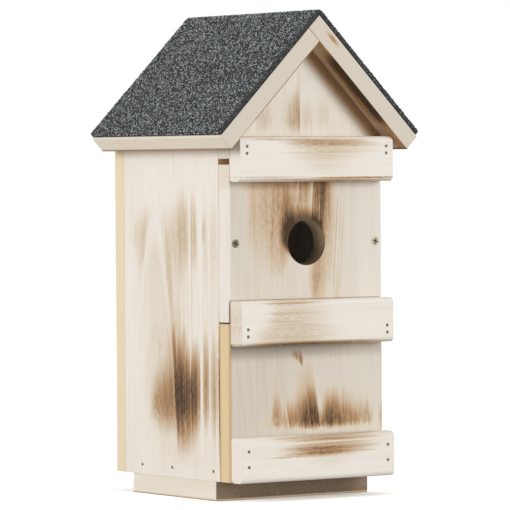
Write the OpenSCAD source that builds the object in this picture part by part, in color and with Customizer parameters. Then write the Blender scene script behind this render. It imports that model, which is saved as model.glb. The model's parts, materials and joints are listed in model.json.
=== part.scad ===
// Wooden bird nest box: butt-jointed boards, a pitched felt roof, and a front that slides out sideways for cleaning.
// Sizes are in millimetres. The front faces -Y, the box stands on Z = 0, and X = 0 is its middle plane.

/* [Boards] */
// Thickness of the walls, front panels and floor
board_t = 14; // [12:0.5:18]
// Thickness of the back panel
back_t = 12; // [10:0.5:18]
// Thickness of the base plate that the box stands on
base_t = 14; // [10:0.5:20]
// Thickness of the roof boards
roof_t = 13; // [10:0.5:18]

/* [Body] */
// Outer width across the side walls
body_w = 132; // [110:1:180]
// Depth of the side walls, from front edge to rear edge
side_d = 122; // [100:1:170]
// Height of the side walls at their outer face
side_h = 244; // [232:1:290]
// How far the base plate sits back from the side walls' front edge
base_front_inset = 4.5; // [0:0.5:15]
// How far the base plate stops short of the side walls' rear edge
base_rear_inset = 10; // [0:0.5:25]

/* [Front] */
// Height of the fixed lower front panel
lower_panel_h = 111.5; // [90:0.5:120]
// Open seam under the sliding door
door_seam = 1; // [0.5:0.25:2]
// Air gap over the sliding door
vent_gap = 4; // [2:0.5:8]
// Height of the gable panel at its outer edges
gable_shoulder = 16.5; // [14:0.5:22]
// Play between the sliding door and the battens it runs behind
door_play = 0.3; // [0.2:0.05:0.8]
// Depth of the step along the door's lower front edge, from the panels' front face
rebate_d = 2; // [1:0.25:4]
// Diameter of the entrance hole
hole_d = 32; // [26:1:45]
// Height of the entrance hole's centre over the door's lower edge
hole_rise = 55.5; // [45:0.5:65]

/* [Battens] */
// Height of each batten
batten_w = 32; // [28:0.5:40]
// Thickness of each batten
batten_t = 14; // [8:0.5:18]
// How far the battens' ends stand past the side walls
batten_over = 0.5; // [0:0.25:4]
// Radius of the battens' long edges
batten_r = 4; // [1:0.5:5]
// Gap between the top batten's ends and the roof
batten_gap = 0.3; // [0.2:0.1:2]

/* [Roof] */
// Pitch of both slopes, in degrees
roof_pitch = 45; // [40:1:50]
// How far the eaves stand out past the side walls
eave_overhang = 19.5; // [12:0.5:35]
// How far the roof stands out in front of the front panels
front_overhang = 17.5; // [10:0.5:40]
// Thickness of the roofing felt
felt_t = 4.5; // [1.5:0.25:6]
// How far the felt stands past the roof boards' eaves
felt_lip = 0; // [0:0.25:5]

/* [Screws] */
// Diameter of the door screws' countersunk heads
screw_head_d = 6.2; // [5:0.1:8]
// Diameter of the door screws' shanks
screw_d = 3.2; // [2.5:0.1:4]
// Play round the door screws, on the radius
screw_play = 0.15; // [0.05:0.05:0.5]
// Gap between the ends of the door screws' shanks and the side walls
screw_end_gap = 0.3; // [0.2:0.1:1]
// Distance from the door's upright edges to the screws
screw_inset = 5; // [4.5:0.25:8]
// Diameter of the pilot holes behind the screws
pilot_d = 2.4; // [1.5:0.1:3]
// Depth of the pilot holes in the side walls' front edges
pilot_depth = 14; // [8:0.5:20]

/* [Nails] */
// Diameter of the nails' shanks
nail_d = 1.6; // [1.2:0.1:2.5]
// Diameter of the nails' heads
nail_head_d = 2.4; // [2:0.1:4]
// Thickness of the nails' heads
nail_head_t = 1; // [0.5:0.1:1.5]
// Depth of the nails' heads under the surface
nail_sink = 0.3; // [0.1:0.1:0.8]
// Length of the nails through battens and front panels
long_nail = 40; // [36:1:44]
// Length of the nails through one board
short_nail = 30; // [24:1:34]
// Length of the nails through the base plate
base_nail = 24; // [20:1:25]
// Distance from the box's side to the nails in the batten ends
batten_nail_inset = 5.5; // [4:0.5:8]
// Spacing of the two nails at each end of the top and middle battens
close_nail_pitch = 5; // [4:0.5:6]
// Spacing of the two nails at each end of the bottom batten
wide_nail_pitch = 11; // [6:0.5:16]
// How far the wide nail pairs sit above the middle of the bottom batten
wide_nail_rise = 1; // [0:0.25:2]
// How far the close nails sit from the middle of their lap, towards the door
nail_lean = 1.7; // [0:0.1:2]
// Distance from the side walls' front edge to the first floor nail
floor_nail_front = 8.5; // [6:0.5:14]
// Distance from the side walls' rear edge to the last floor nail
floor_nail_rear = 22; // [8:0.5:30]
// Distance from the ends of the back panel's edge to its first and last nails
back_nail_end = 30; // [20:1:50]
// Distance from the middle plane to the nails that join the back panel to the floor
back_nail_offset = 25; // [10:1:35]
// Distance from the ridge to the upper roof nails, down the slope
roof_nail_upper = 45; // [40:1:55]
// Distance from the ridge to the lower roof nails, down the slope
roof_nail_lower = 82; // [65:1:85]
// Distance from the roof's front and rear edges to the outer ridge nails
ridge_nail_end = 45; // [30:1:60]
// Distance from the floor's sides and ends to the base plate's nails
base_nail_inset = 24; // [20:1:26]

/* [Holes] */
// Diameter of the drain holes in the floor and base plate
drain_d = 6; // [4:0.5:9]
// Distance from the side walls' inner faces to the drain holes
drain_side_inset = 14; // [10:0.5:18]
// Distance from the floor's front and rear ends to the drain holes
drain_end_inset = 32; // [30:0.5:40]
// Diameter of the two hanging holes in the back panel
hang_d = 5.5; // [4:0.5:8]
// Height of the lower hanging hole over the floor of the body
hang_rise = 136; // [125:1:145]
// Distance between the two hanging holes
hang_pitch = 60; // [40:1:70]

/* [Hidden] */
$fn = 48;
both = [-1, 1];

// How far a cutter runs past the surface it cuts
cut = 1;
// Facets across the felt's bend at the ridge
ridge_steps = 12;

// Widths, from the middle plane
wall_x = body_w / 2;
inner_x = wall_x - board_t;
batten_x = wall_x + batten_over;
screw_x = wall_x - screw_inset;

// Depths, from the roof's front edge to the back panel's rear face
total_d = front_overhang + board_t + side_d + back_t;
roof_y = -total_d / 2;
front_y = roof_y + front_overhang;
side_y = front_y + board_t;
back_y = side_y + side_d;
rear_y = back_y + back_t;
door_y = front_y + door_play;
door_t = board_t - door_play;

// Heights, from the surface the box stands on
body_z = base_t;
floor_z = body_z + board_t;
eave_z = body_z + side_h;
inner_ridge_z = eave_z + wall_x * tan(roof_pitch);
ridge_z = inner_ridge_z + roof_t / cos(roof_pitch);
lower_top_z = body_z + lower_panel_h;
door_z = lower_top_z + door_seam;
gable_z = eave_z - gable_shoulder;
door_top_z = gable_z - vent_gap;
door_h = door_top_z - door_z;
hole_z = door_z + hole_rise;

// Batten heights: the top one fits under the roof, the middle one covers the seam, the bottom one is flush below
top_batten_top_z = eave_z - batten_over * tan(roof_pitch) - batten_gap;
top_batten_z = top_batten_top_z - batten_w;
middle_batten_z = (lower_top_z + door_z - batten_w) / 2;
rebate_h = middle_batten_z + batten_w - door_z;

// Roof slope: its length on the outer face, and unit steps down it and out of it for the right-hand board
slope_l = (wall_x + eave_overhang) / cos(roof_pitch);
down = [cos(roof_pitch), -sin(roof_pitch)];
out = [sin(roof_pitch), cos(roof_pitch)];
ridge = [0, ridge_z];
inner_ridge = [0, inner_ridge_z];
// Where the right board's underside comes through the left board's outer face
butt_step = -roof_t * cos(2 * roof_pitch) / sin(2 * roof_pitch);
butt_point = ridge + butt_step * down - roof_t * out;

// Nail heights at the batten ends: two pairs close together in their laps, and one wide pair
top_nail_z = (gable_z + top_batten_top_z) / 2 - nail_lean;
middle_nail_z = (middle_batten_z + lower_top_z) / 2 + nail_lean;
bottom_nail_z = body_z + batten_w / 2 + wide_nail_rise;
batten_nail_x = wall_x - batten_nail_inset;

// Drawing helpers

// Extrudes a profile drawn in X and Z along Y
module along_y(y, depth) {
    translate([0, y + depth, 0])
        rotate([90, 0, 0])
            linear_extrude(depth)
                children();
}

// A box with its lowest corner at a point
module board(corner, size) {
    translate(corner)
        cube(size);
}

// A cylinder from front to back, for holes drilled along Y
module drill_y(d, x, y, z, depth) {
    translate([x, y, z])
        rotate([-90, 0, 0])
            cylinder(d = d, h = depth);
}

// The outline shared by the gable panel and the back panel, from a given lower edge up to the roof boards
module gable_outline(bottom_z) {
    polygon([
        [-wall_x, bottom_z],
        [wall_x, bottom_z],
        [wall_x, eave_z],
        inner_ridge,
        [-wall_x, eave_z]
    ]);
}

// A rectangle with rounded corners, its lower left corner at the origin
module rounded_rectangle(w, h, r) {
    translate([r, 0])
        square([w - 2 * r, h]);
    translate([0, r])
        square([w, h - 2 * r]);
    for (x = [r, w - r], y = [r, h - r])
        translate([x, y])
            circle(r);
}

// A nail driven down from the surface at the origin
module nail(length) {
    translate([0, 0, -nail_sink - nail_head_t])
        cylinder(d = nail_head_d, h = nail_head_t);
    translate([0, 0, -nail_sink - length])
        cylinder(d = nail_d, h = length);
}

// The hole a driven nail leaves, open over its sunk head
module nail_hole(length) {
    nail(length);
    translate([0, 0, -nail_sink - nail_head_t])
        cylinder(d = nail_head_d, h = nail_head_t + nail_sink + cut);
}

// Places for the nails, each turned so that the nail runs into the wood

// Two nails at each end of the three battens
module at_batten_nails() {
    pairs = [
        [top_nail_z, close_nail_pitch],
        [middle_nail_z, close_nail_pitch],
        [bottom_nail_z, wide_nail_pitch]
    ];
    for (pair = pairs, side = both, step = both)
        translate([side * batten_nail_x, front_y - batten_t, pair[0] + step * pair[1] / 2])
            rotate([90, 0, 0])
                children();
}

// Three nails low in each side wall, into the floor's edges
module at_floor_nails() {
    first_y = side_y + floor_nail_front;
    last_y = back_y - floor_nail_rear;
    for (side = both, y = [first_y, side_y + side_d / 2, last_y])
        translate([side * wall_x, y, body_z + board_t / 2])
            rotate([0, side * 90, 0])
                children();
}

// Three nails down each edge of the back panel, into the side walls, and two into the floor
module at_back_nails() {
    low_z = body_z + back_nail_end;
    high_z = eave_z - back_nail_end;
    for (side = both, z = [low_z, (low_z + high_z) / 2, high_z])
        translate([side * (wall_x - board_t / 2), rear_y, z])
            rotate([-90, 0, 0])
                children();
    for (side = both)
        translate([side * back_nail_offset, rear_y, body_z + board_t / 2])
            rotate([-90, 0, 0])
                children();
}

// Two nails in each slope over the gable panel and over the back panel
module at_slope_nails() {
    for (side = both, y = [front_y + board_t / 2, back_y + back_t / 2], s = [roof_nail_upper, roof_nail_lower])
        translate([side * s * down[0], y, ridge_z + s * down[1]])
            rotate([0, side * roof_pitch, 0])
                children();
}

// Three nails along the ridge, through the right board into the left board's end
module at_ridge_nails() {
    first_y = roof_y + ridge_nail_end;
    last_y = rear_y - ridge_nail_end;
    s = roof_t / 2;
    for (y = [first_y, (first_y + last_y) / 2, last_y])
        translate([s * down[0], y, ridge_z + s * down[1]])
            rotate([0, roof_pitch, 0])
                children();
}

// Four nails up through the base plate into the floor
module at_base_nails() {
    for (side = both, y = [side_y + base_nail_inset, back_y - base_nail_inset])
        translate([side * (inner_x - base_nail_inset), y, 0])
            rotate([180, 0, 0])
                children();
}

// Four drain holes through the floor and the base plate
module drain_holes() {
    for (side = both, y = [side_y + drain_end_inset, back_y - drain_end_inset])
        translate([side * (inner_x - drain_side_inset), y, -cut])
            cylinder(d = drain_d, h = floor_z + 2 * cut);
}

// Sub-parts

// One side wall, with its top bevelled to the roof and a pilot hole behind the door screw
module side_wall(side) {
    color("#efe6da")
        difference() {
            along_y(side_y, side_d)
                polygon([
                    [side * wall_x, body_z],
                    [side * wall_x, eave_z],
                    [side * inner_x, eave_z + board_t * tan(roof_pitch)],
                    [side * inner_x, body_z]
                ]);
            drill_y(pilot_d, side * screw_x, side_y - cut, hole_z, pilot_depth + cut);
            at_batten_nails() nail_hole(long_nail);
            at_floor_nails() nail_hole(short_nail);
            at_back_nails() nail_hole(short_nail);
        }
}

module left_side_wall() {
    side_wall(-1);
}

module right_side_wall() {
    side_wall(1);
}

// The back panel closes the body and the rear gable, and has two holes to hang the box by
module back_panel() {
    color("#e9d9bb")
        difference() {
            along_y(back_y, back_t)
                gable_outline(body_z);
            for (z = [body_z + hang_rise, body_z + hang_rise + hang_pitch])
                drill_y(hang_d, 0, back_y - cut, z, back_t + 2 * cut);
            at_back_nails() nail_hole(short_nail);
            at_slope_nails() nail_hole(short_nail);
        }
}

// The floor lies between the walls, flush with their lower edges
module floor_board() {
    color("#eadfc8")
        difference() {
            board([-inner_x, side_y, body_z], [2 * inner_x, side_d, board_t]);
            drain_holes();
            at_floor_nails() nail_hole(short_nail);
            at_back_nails() nail_hole(short_nail);
            at_base_nails() nail_hole(base_nail);
        }
}

// The plate under the body, set back at the front and short at the rear
module base_plate() {
    color("#eee4d4")
        difference() {
            board(
                [-wall_x, side_y + base_front_inset, 0],
                [body_w, side_d - base_front_inset - base_rear_inset, base_t]
            );
            drain_holes();
            at_base_nails() nail_hole(base_nail);
        }
}

// The fixed panel below the door
module lower_front_panel() {
    color("#dfd5c8")
        difference() {
            board([-wall_x, front_y, body_z], [body_w, board_t, lower_panel_h]);
            at_batten_nails() nail_hole(long_nail);
        }
}

// The fixed panel in the front gable
module gable_panel() {
    color("#e3d8ca")
        difference() {
            along_y(front_y, board_t)
                gable_outline(gable_z);
            at_batten_nails() nail_hole(long_nail);
            at_slope_nails() nail_hole(short_nail);
        }
}

// The sliding front, with the entrance hole, two screw holes and a stepped lower edge behind the middle batten
module front_door() {
    color("#dccfbf")
        difference() {
            board([-wall_x, door_y, door_z], [body_w, door_t, door_h]);
            board(
                [-wall_x - cut, front_y - cut, door_z - cut],
                [body_w + 2 * cut, rebate_d + cut, rebate_h + cut]
            );
            drill_y(hole_d, 0, front_y - cut, hole_z, board_t + 2 * cut);
            for (side = both)
                translate([side * screw_x, door_y, hole_z])
                    screw_form(door_t + cut, screw_play);
        }
}

// A batten with rounded long edges, its lower edge at a height
module batten(z) {
    color("#e8dfd4")
        difference() {
            translate([-batten_x, front_y - batten_t, z])
                rotate([90, 0, 90])
                    linear_extrude(2 * batten_x)
                        rounded_rectangle(batten_t, batten_w, batten_r);
            at_batten_nails() nail_hole(long_nail);
        }
}

module top_batten() {
    batten(top_batten_z);
}

module middle_batten() {
    batten(middle_batten_z);
}

module bottom_batten() {
    batten(body_z);
}

// A point on the right or left slope, a distance down it and a distance out of its outer face
function on_slope(side, s, h) = [side * (s * down[0] + h * out[0]), ridge_z + s * down[1] + h * out[1]];

// The left roof board, its upper end butted under the right one
module left_roof_board() {
    color("#ece3d6")
        difference() {
            along_y(roof_y, total_d)
                polygon([
                    butt_point,
                    inner_ridge,
                    on_slope(-1, slope_l, -roof_t),
                    on_slope(-1, slope_l, 0)
                ]);
            at_slope_nails() nail_hole(short_nail);
            at_ridge_nails() nail_hole(short_nail);
        }
}

// The right roof board, run through to the left one's outer face
module right_roof_board() {
    color("#ece3d6")
        difference() {
            along_y(roof_y, total_d)
                polygon([
                    ridge,
                    on_slope(1, slope_l, 0),
                    on_slope(1, slope_l, -roof_t),
                    butt_point
                ]);
            at_slope_nails() nail_hole(short_nail);
            at_ridge_nails() nail_hole(short_nail);
        }
}

// One sheet of felt, folded over the ridge and rounded there
module roof_felt() {
    felt_l = slope_l + felt_lip;
    ridge_arc = [
        for (i = [0:ridge_steps])
            let (turn = roof_pitch * (1 - 2 * i / ridge_steps))
                ridge + felt_t * [sin(turn), cos(turn)]
    ];
    outline = concat(
        [ridge, on_slope(1, felt_l, 0), on_slope(1, felt_l, felt_t)],
        ridge_arc,
        [on_slope(-1, felt_l, felt_t), on_slope(-1, felt_l, 0)]
    );
    color("#52595c")
        along_y(roof_y, total_d)
            polygon(outline);
}

// A countersunk screw driven along +Y from the surface at the origin, larger all round by the play
module screw_form(length, play) {
    head_h = (screw_head_d - screw_d) / 2;
    rotate([-90, 0, 0]) {
        cylinder(d1 = screw_head_d + 2 * play, d2 = screw_d + 2 * play, h = head_h);
        cylinder(d = screw_d + 2 * play, h = length);
    }
}

// A screw with its head flush in the door and its shank ending short of the side wall
module door_screw(side) {
    color(side < 0 ? "#6d5a48" : "#a88b55")
        translate([side * screw_x, door_y, hole_z])
            screw_form(door_t - screw_end_gap, 0);
}

module left_door_screw() {
    door_screw(-1);
}

module right_door_screw() {
    door_screw(1);
}

module batten_nails() {
    color("#5b5650")
        at_batten_nails() nail(long_nail);
}

module floor_nails() {
    color("#5b5650")
        at_floor_nails() nail(short_nail);
}

module back_nails() {
    color("#5b5650")
        at_back_nails() nail(short_nail);
}

module roof_nails() {
    color("#5b5650") {
        at_slope_nails() nail(short_nail);
        at_ridge_nails() nail(short_nail);
    }
}

module base_nails() {
    color("#5b5650")
        at_base_nails() nail(base_nail);
}

left_side_wall();
right_side_wall();
back_panel();
floor_board();
base_plate();
lower_front_panel();
gable_panel();
front_door();
top_batten();
middle_batten();
bottom_batten();
left_roof_board();
right_roof_board();
roof_felt();
left_door_screw();
right_door_screw();
batten_nails();
floor_nails();
back_nails();
roof_nails();
base_nails();
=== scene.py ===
"""Dresses the bird nest box: flamed spruce boards, a slated felt roof, nails, screws and a plain studio."""

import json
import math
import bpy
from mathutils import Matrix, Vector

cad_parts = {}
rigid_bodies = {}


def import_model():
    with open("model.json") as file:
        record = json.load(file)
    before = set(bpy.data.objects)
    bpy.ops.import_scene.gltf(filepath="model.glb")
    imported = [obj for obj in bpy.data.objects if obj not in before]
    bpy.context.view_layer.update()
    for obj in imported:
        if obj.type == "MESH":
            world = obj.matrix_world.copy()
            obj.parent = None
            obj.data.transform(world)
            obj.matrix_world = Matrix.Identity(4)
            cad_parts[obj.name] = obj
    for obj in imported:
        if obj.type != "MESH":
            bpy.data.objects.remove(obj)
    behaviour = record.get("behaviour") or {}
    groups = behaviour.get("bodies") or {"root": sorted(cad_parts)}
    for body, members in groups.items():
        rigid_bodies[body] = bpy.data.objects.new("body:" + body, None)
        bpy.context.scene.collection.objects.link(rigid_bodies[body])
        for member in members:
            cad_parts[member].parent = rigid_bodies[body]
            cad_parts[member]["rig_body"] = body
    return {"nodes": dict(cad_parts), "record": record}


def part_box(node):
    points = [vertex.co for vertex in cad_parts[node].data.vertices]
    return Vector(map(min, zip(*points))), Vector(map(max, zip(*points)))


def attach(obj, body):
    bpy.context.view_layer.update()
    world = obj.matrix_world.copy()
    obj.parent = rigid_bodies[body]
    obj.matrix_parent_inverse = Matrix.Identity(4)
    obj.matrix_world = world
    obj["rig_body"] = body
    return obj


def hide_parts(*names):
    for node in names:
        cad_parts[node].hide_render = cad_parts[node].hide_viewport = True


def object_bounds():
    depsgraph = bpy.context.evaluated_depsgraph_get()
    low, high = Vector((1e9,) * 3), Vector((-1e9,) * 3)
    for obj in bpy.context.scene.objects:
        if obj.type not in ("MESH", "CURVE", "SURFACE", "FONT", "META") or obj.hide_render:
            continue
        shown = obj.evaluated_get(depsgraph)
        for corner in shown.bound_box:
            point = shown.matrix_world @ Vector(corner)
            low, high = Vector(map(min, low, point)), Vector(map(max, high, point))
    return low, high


bl_info = {
    "name": "Bird Nest Box",
    "version": (1, 0, 0),
    "blender": (4, 5, 0),
    "location": "View3D > Sidebar > Nest Box",
    "description": "Dresses a wooden bird nest box with flamed boards, slated felt, nails and screws",
    "category": "Object",
}

from collections import namedtuple

import bmesh
import bpy
from mathutils import Matrix, Vector

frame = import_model()
cad_low, cad_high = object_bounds()

MM = 0.001
# Directions, as seen from the front
RIGHT, LEFT = (1, 0, 0), (-1, 0, 0)
BACK, FRONT = (0, 1, 0), (0, -1, 0)
UP, DOWN = (0, 0, 1), (0, 0, -1)
# The sine and the cosine of the roof's slope of 45 degrees
SLOPE = math.sqrt(0.5)


def linear(code):
    """A colour written as it looks on a screen, such as c8b090, as the linear numbers that a shader takes."""
    steps = [int(code[i : i + 2], 16) / 255 for i in (0, 2, 4)]
    return tuple(s / 12.92 if s <= 0.04045 else ((s + 0.055) / 1.055) ** 2.4 for s in steps)


def colour_setting(name, description, code):
    """A colour that a user may change, with a screen colour as its default."""
    return bpy.props.FloatVectorProperty(
        name=name, description=description, subtype="COLOR", size=3, min=0, max=1, default=linear(code)
    )


def length_setting(name, description, millimetres):
    """A length that a user may change, kept in metres."""
    return bpy.props.FloatProperty(
        name=name, description=description, subtype="DISTANCE", unit="LENGTH", precision=5,
        default=millimetres * MM,
    )


def number_setting(name, description, value, subtype="NONE"):
    """A number that a user may change, such as an angle or a share."""
    return bpy.props.FloatProperty(name=name, description=description, subtype=subtype, default=value)


class NestBoxWood(bpy.types.PropertyGroup):
    edge_round: length_setting("Eased Edge", "Radius of the boards' sanded edges", 0.5)
    ring_width: length_setting("Ring Width", "Distance between two growth rings", 5.6)
    fibre_width: length_setting("Fibre Width", "Width of the finest streaks in the wood", 0.7)
    fibre_relief: length_setting("Fibre Relief", "Height of the raised fibres", 0.05)
    pale: colour_setting("Pale Wood", "Planed wood of most boards", "f3ece3")
    mellow: colour_setting("Mellow Wood", "Planed wood of the lower panel and the door", "e3dbcf")
    # Also painted shade: the lower panel and the door darken towards the left, where less light falls
    dusky_tone_and_shade: colour_setting("Dusky Wood", "The lower panel and the door at the rings and the left", "cdc3b4")
    warm: colour_setting("Warm Wood", "Most boards at the rings and in warm patches", "e4d9c4")
    raw: colour_setting("Raw Wood", "The lower panel's sawn edges and the roof's underside", "e8cea2")
    sawn: colour_setting("Sawn Wood", "Sawn edges of the back panel", "f0dfbf")
    amber: colour_setting("Amber Wood", "The side walls' front edges, which show over the door", "ecc69b")
    end: colour_setting("End Grain", "The roof boards' front ends", "dcd3c5")
    fresh: colour_setting("Fresh Wood", "The roof boards' lower ends", "faf0dd")
    # The base plate's front end: browner end grain, darkened further with painted shade
    shaded_end_grain: colour_setting("Shaded End Grain", "The base plate's front end", "8f7a64")
    # The base plate's front end is darker towards its foot
    darker_foot: colour_setting("Darker Foot", "The foot of the base plate's front end", "675646")
    # Painted shade: the colour the lower panel turns towards close under the middle batten
    painted_batten_shade: colour_setting("Painted Batten Shade", "The lower panel close under the middle batten", "8f8778")
    aged: colour_setting("Aged Wood", "The wall of the entrance hole", "c0ab8c")
    tan: colour_setting("Tan Scorch", "Wood that the flame only warmed", "d6c2a8")
    brown: colour_setting("Brown Scorch", "Wood browned by the flame", "b38c65")
    umber: colour_setting("Umber Scorch", "Wood darkened by the flame", "7b6149")
    char: colour_setting("Char", "The darkest burnt wood", "4a3727")


class NestBoxFelt(bpy.types.PropertyGroup):
    sheet: length_setting("Sheet Thickness", "Thickness of the bitumen sheet under the slate", 3.7)
    rim: length_setting("Rim", "How far the sheet's front and rear stay behind the boards' ends", 0.5)
    eave_gap: length_setting("Eave Gap", "How far the sheet ends short of the boards' lower ends", 1.6)
    bare_edge: length_setting("Bare Edge", "Height of bitumen left bare along the cut edges", 1.2)
    grain: length_setting("Grain Size", "Width of one slate grain", 1.5)
    spacing: length_setting("Grain Spacing", "Least distance between two grains", 0.9)
    seed: bpy.props.IntProperty(name="Seed", description="Start of the grains' random draws", default=7)
    bitumen: colour_setting("Bitumen", "The sheet's cut edge and ground", "1a1614")
    dust: colour_setting("Slate Dust", "The upper part of the sheet's cut edges", "34312f")
    shade: colour_setting("Dark Slate", "The darkest grains", "0d1114")
    slate: colour_setting("Slate", "Grains of the middle tone", "5b6465")
    light: colour_setting("Light Slate", "The palest grains", "ccd4d3")


class NestBoxFixings(bpy.types.PropertyGroup):
    recess: length_setting("Recess", "Width across the cross in the screws' heads", 4.2)
    slot: length_setting("Slot", "Width of one arm of the cross", 1.1)
    depth: length_setting("Recess Depth", "Depth of the cross", 1.3)
    shank: length_setting("Shank", "Radius over the thread", 1.55)
    core: length_setting("Core", "Radius of the shank under the thread", 1.1)
    pitch: length_setting("Thread Pitch", "Distance between two turns of the thread", 1.35)
    bronze: colour_setting("Bronzed Steel", "The left door screw", "6b5f4c")
    brass: colour_setting("Brassed Steel", "The right door screw", "8a826c")
    steel: colour_setting("Nail Steel", "The heads of the nails", "5c5147")


class NestBoxStage(bpy.types.PropertyGroup):
    sky: number_setting("Sky", "Strength of the even light from all round", 0.41)
    front: number_setting("Front Lamp", "Light on the front, as a share of full daylight", 0.6)
    side: number_setting("Side Lamp", "Light on the left side, as a share of full daylight", 0.62)
    floor: colour_setting("Floor", "The floor that the box stands on", "cacaca")
    lens: number_setting("Lens", "Focal length on a 36 mm sensor", 279.014, "DISTANCE_CAMERA")
    yaw: number_setting("Yaw", "The camera's turn to its right", math.radians(34.8054), "ANGLE")
    pitch: number_setting("Pitch", "The camera's tilt upwards", math.radians(-1.19555), "ANGLE")
    roll: number_setting("Roll", "The camera's turn about its own axis", math.radians(-0.38161), "ANGLE")
    place: bpy.props.FloatVectorProperty(
        name="Place", description="Where the camera stands", subtype="TRANSLATION",
        default=(-1.63125, -2.34759, 0.23179),
    )


class Wire:
    """The output of a node; arithmetic on numbers adds Math nodes."""

    def __init__(self, bench, socket):
        self.bench = bench
        self.socket = socket

    def __add__(self, other):
        return self.bench.math("ADD", self, other)

    def __sub__(self, other):
        return self.bench.math("SUBTRACT", self, other)

    def __rsub__(self, other):
        return self.bench.math("SUBTRACT", other, self)

    def __mul__(self, other):
        return self.bench.math("MULTIPLY", self, other)

    def __truediv__(self, other):
        return self.bench.math("DIVIDE", self, other)

    def __pow__(self, other):
        return self.bench.math("POWER", self, other)

    def __abs__(self):
        return self.bench.math("ABSOLUTE", self)

    __radd__ = __add__
    __rmul__ = __mul__


class Bench:
    """A node tree, with one method that adds any kind of node to it."""

    def __init__(self, tree):
        self.tree = tree
        self.tree.nodes.clear()

    def node(self, kind, settings=None, feeds=None, out=0):
        """Adds a node with its settings and its sockets' values or links. Returns one output as a Wire."""
        node = self.tree.nodes.new(kind)
        for name, value in (settings or {}).items():
            if name == "stops":
                self.set_stops(node.color_ramp, value)
            else:
                setattr(node, name, value)
        for name, value in (feeds or {}).items():
            key = name if isinstance(name, int) else self.find(node.inputs, name)
            if isinstance(value, Wire):
                self.tree.links.new(value.socket, node.inputs[key])
            else:
                node.inputs[key].default_value = value
        if not len(node.outputs):
            return None
        return Wire(self, node.outputs[out if isinstance(out, int) else self.find(node.outputs, out)])

    @staticmethod
    def find(sockets, name):
        """The place of the socket with that identifier or, failing that, that name."""
        names = [s.identifier for s in sockets]
        return names.index(name) if name in names else [s.name for s in sockets].index(name)

    @staticmethod
    def set_stops(ramp, stops):
        while len(ramp.elements) < len(stops):
            ramp.elements.new(0.5)
        for element, (place, colour) in zip(ramp.elements, stops, strict=True):
            element.position = place
            element.color = (*colour, 1)

    def math(self, operation, *values):
        return self.node("ShaderNodeMath", {"operation": operation}, dict(enumerate(values)))


class Finish(Bench):
    """A material being mixed."""

    def __init__(self, name):
        self.material = bpy.data.materials.new(name)
        self.material.use_nodes = True
        super().__init__(self.material.node_tree)
        self.place = self.node("ShaderNodeTexCoord", out="Object")

    def measure(self, direction, start=0.0):
        """Millimetres along a direction, from a start."""
        feeds = {0: self.place, 1: Vector(direction).normalized() / MM}
        span = self.node("ShaderNodeVectorMath", {"operation": "DOT_PRODUCT"}, feeds, out="Value")
        return span - start if start else span

    def join(self, x, y, z):
        return self.node("ShaderNodeCombineXYZ", feeds={0: x, 1: y, 2: z})

    def fade(self, value, low, high, start=0.0, end=1.0):
        """A smooth step as a value goes from low to high."""
        feeds = {"Value": value, "From Min": low, "From Max": high, "To Min": start, "To Max": end}
        return self.node("ShaderNodeMapRange", {"interpolation_type": "SMOOTHSTEP"}, feeds)

    def noise(self, vector, scale=1.0, detail=2.0, roughness=0.5):
        feeds = {"Vector": vector, "Scale": scale, "Detail": detail, "Roughness": roughness}
        return self.node("ShaderNodeTexNoise", feeds=feeds)

    def mix(self, factor, first, second):
        """The first colour, and the second one as the factor goes from 0 to 1."""
        colours = {"A_Color": first, "B_Color": second}
        feeds = {k: v if isinstance(v, Wire) else (*v, 1) for k, v in colours.items()}
        feeds["Factor_Float"] = factor
        return self.node("ShaderNodeMix", {"data_type": "RGBA"}, feeds, out="Result_Color")

    def ramp(self, value, stops):
        return self.node("ShaderNodeValToRGB", {"stops": stops}, {"Fac": value})

    def bump(self, height, distance):
        """Relief from a height between 0 and 1, with the height of its peaks in metres."""
        return self.node("ShaderNodeBump", feeds={"Height": height, "Distance": distance, "Strength": 1.0})

    def surface(self, colour, roughness, normal=None, **constants):
        """Ends the material in a Principled surface."""
        feeds = {"Base Color": colour, "Roughness": roughness, **constants}
        if normal is not None:
            feeds["Normal"] = normal
        shader = self.node("ShaderNodeBsdfPrincipled", feeds=feeds)
        self.node("ShaderNodeOutputMaterial", feeds={"Surface": shader})
        return self.material


# A board's grain: its directions across, along and into the board, and the place of its face. The pith is at
# a distance across and a depth at a level along the board; dip and lean are how it goes deeper and sideways
# per unit along. Burns may stop at the split: a ring's radius or, if straight is set, a distance across.
Grain = namedtuple(
    "Grain", "across along inwards face pith depth level dip lean split straight", defaults=(0, 0, 0, True)
)

# A torch burn: its middle across and along the board, how far it reaches to both sides, up and down the
# grain, its heat, and on which side of the grain's split it lies: 0 on both, 1 beyond it and -1 short of it.
Burn = namedtuple("Burn", "across along wide up down heat side", defaults=(0,))

# A line along the grain at a distance across: its width, how much darker it is or, below 0, paler, its ends.
Vein = namedtuple("Vein", "at width tone low high", defaults=(-1000, 1000))

# The widths and lengths in millimetres of the wood's patches, streaks and dashes, and the fibres' length
PATCH, STREAK, DASH, FIBRE_LENGTH = (26, 130), (2.4, 150), (0.9, 5), 40
# The places in a growth ring, from 0 to 1, where its dark late wood begins, is full and starts to end
LATE_START, LATE_FULL, LATE_END = 0.62, 0.94, 0.95
# How far from its middle a burn starts and is full, as shares of its reach
BURN_START, BURN_FULL = 1.12, 0.05
# The heat that one burn alone keeps, and how much overlapping burns hold each other back
LONE_BURN, HOLD_BACK = 0.95, 0.42
# Half the length over which a vein ends
VEIN_END = 6
# How dull planed wood is, and how much it mirrors
WOOD_ROUGHNESS, WOOD_GLOSS = 0.7, 0.12


def blot(finish, across, above, below, burn):
    """The heat of one burn, from its middle outwards: ragged upwards and clean downwards."""
    x = (across - burn.across) / burn.wide
    z = finish.math("MAXIMUM", (above - burn.along) / burn.up, (burn.along - below) / burn.down)
    return finish.fade((x * x + z * z) ** 0.5, BURN_START, BURN_FULL) * burn.heat


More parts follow.
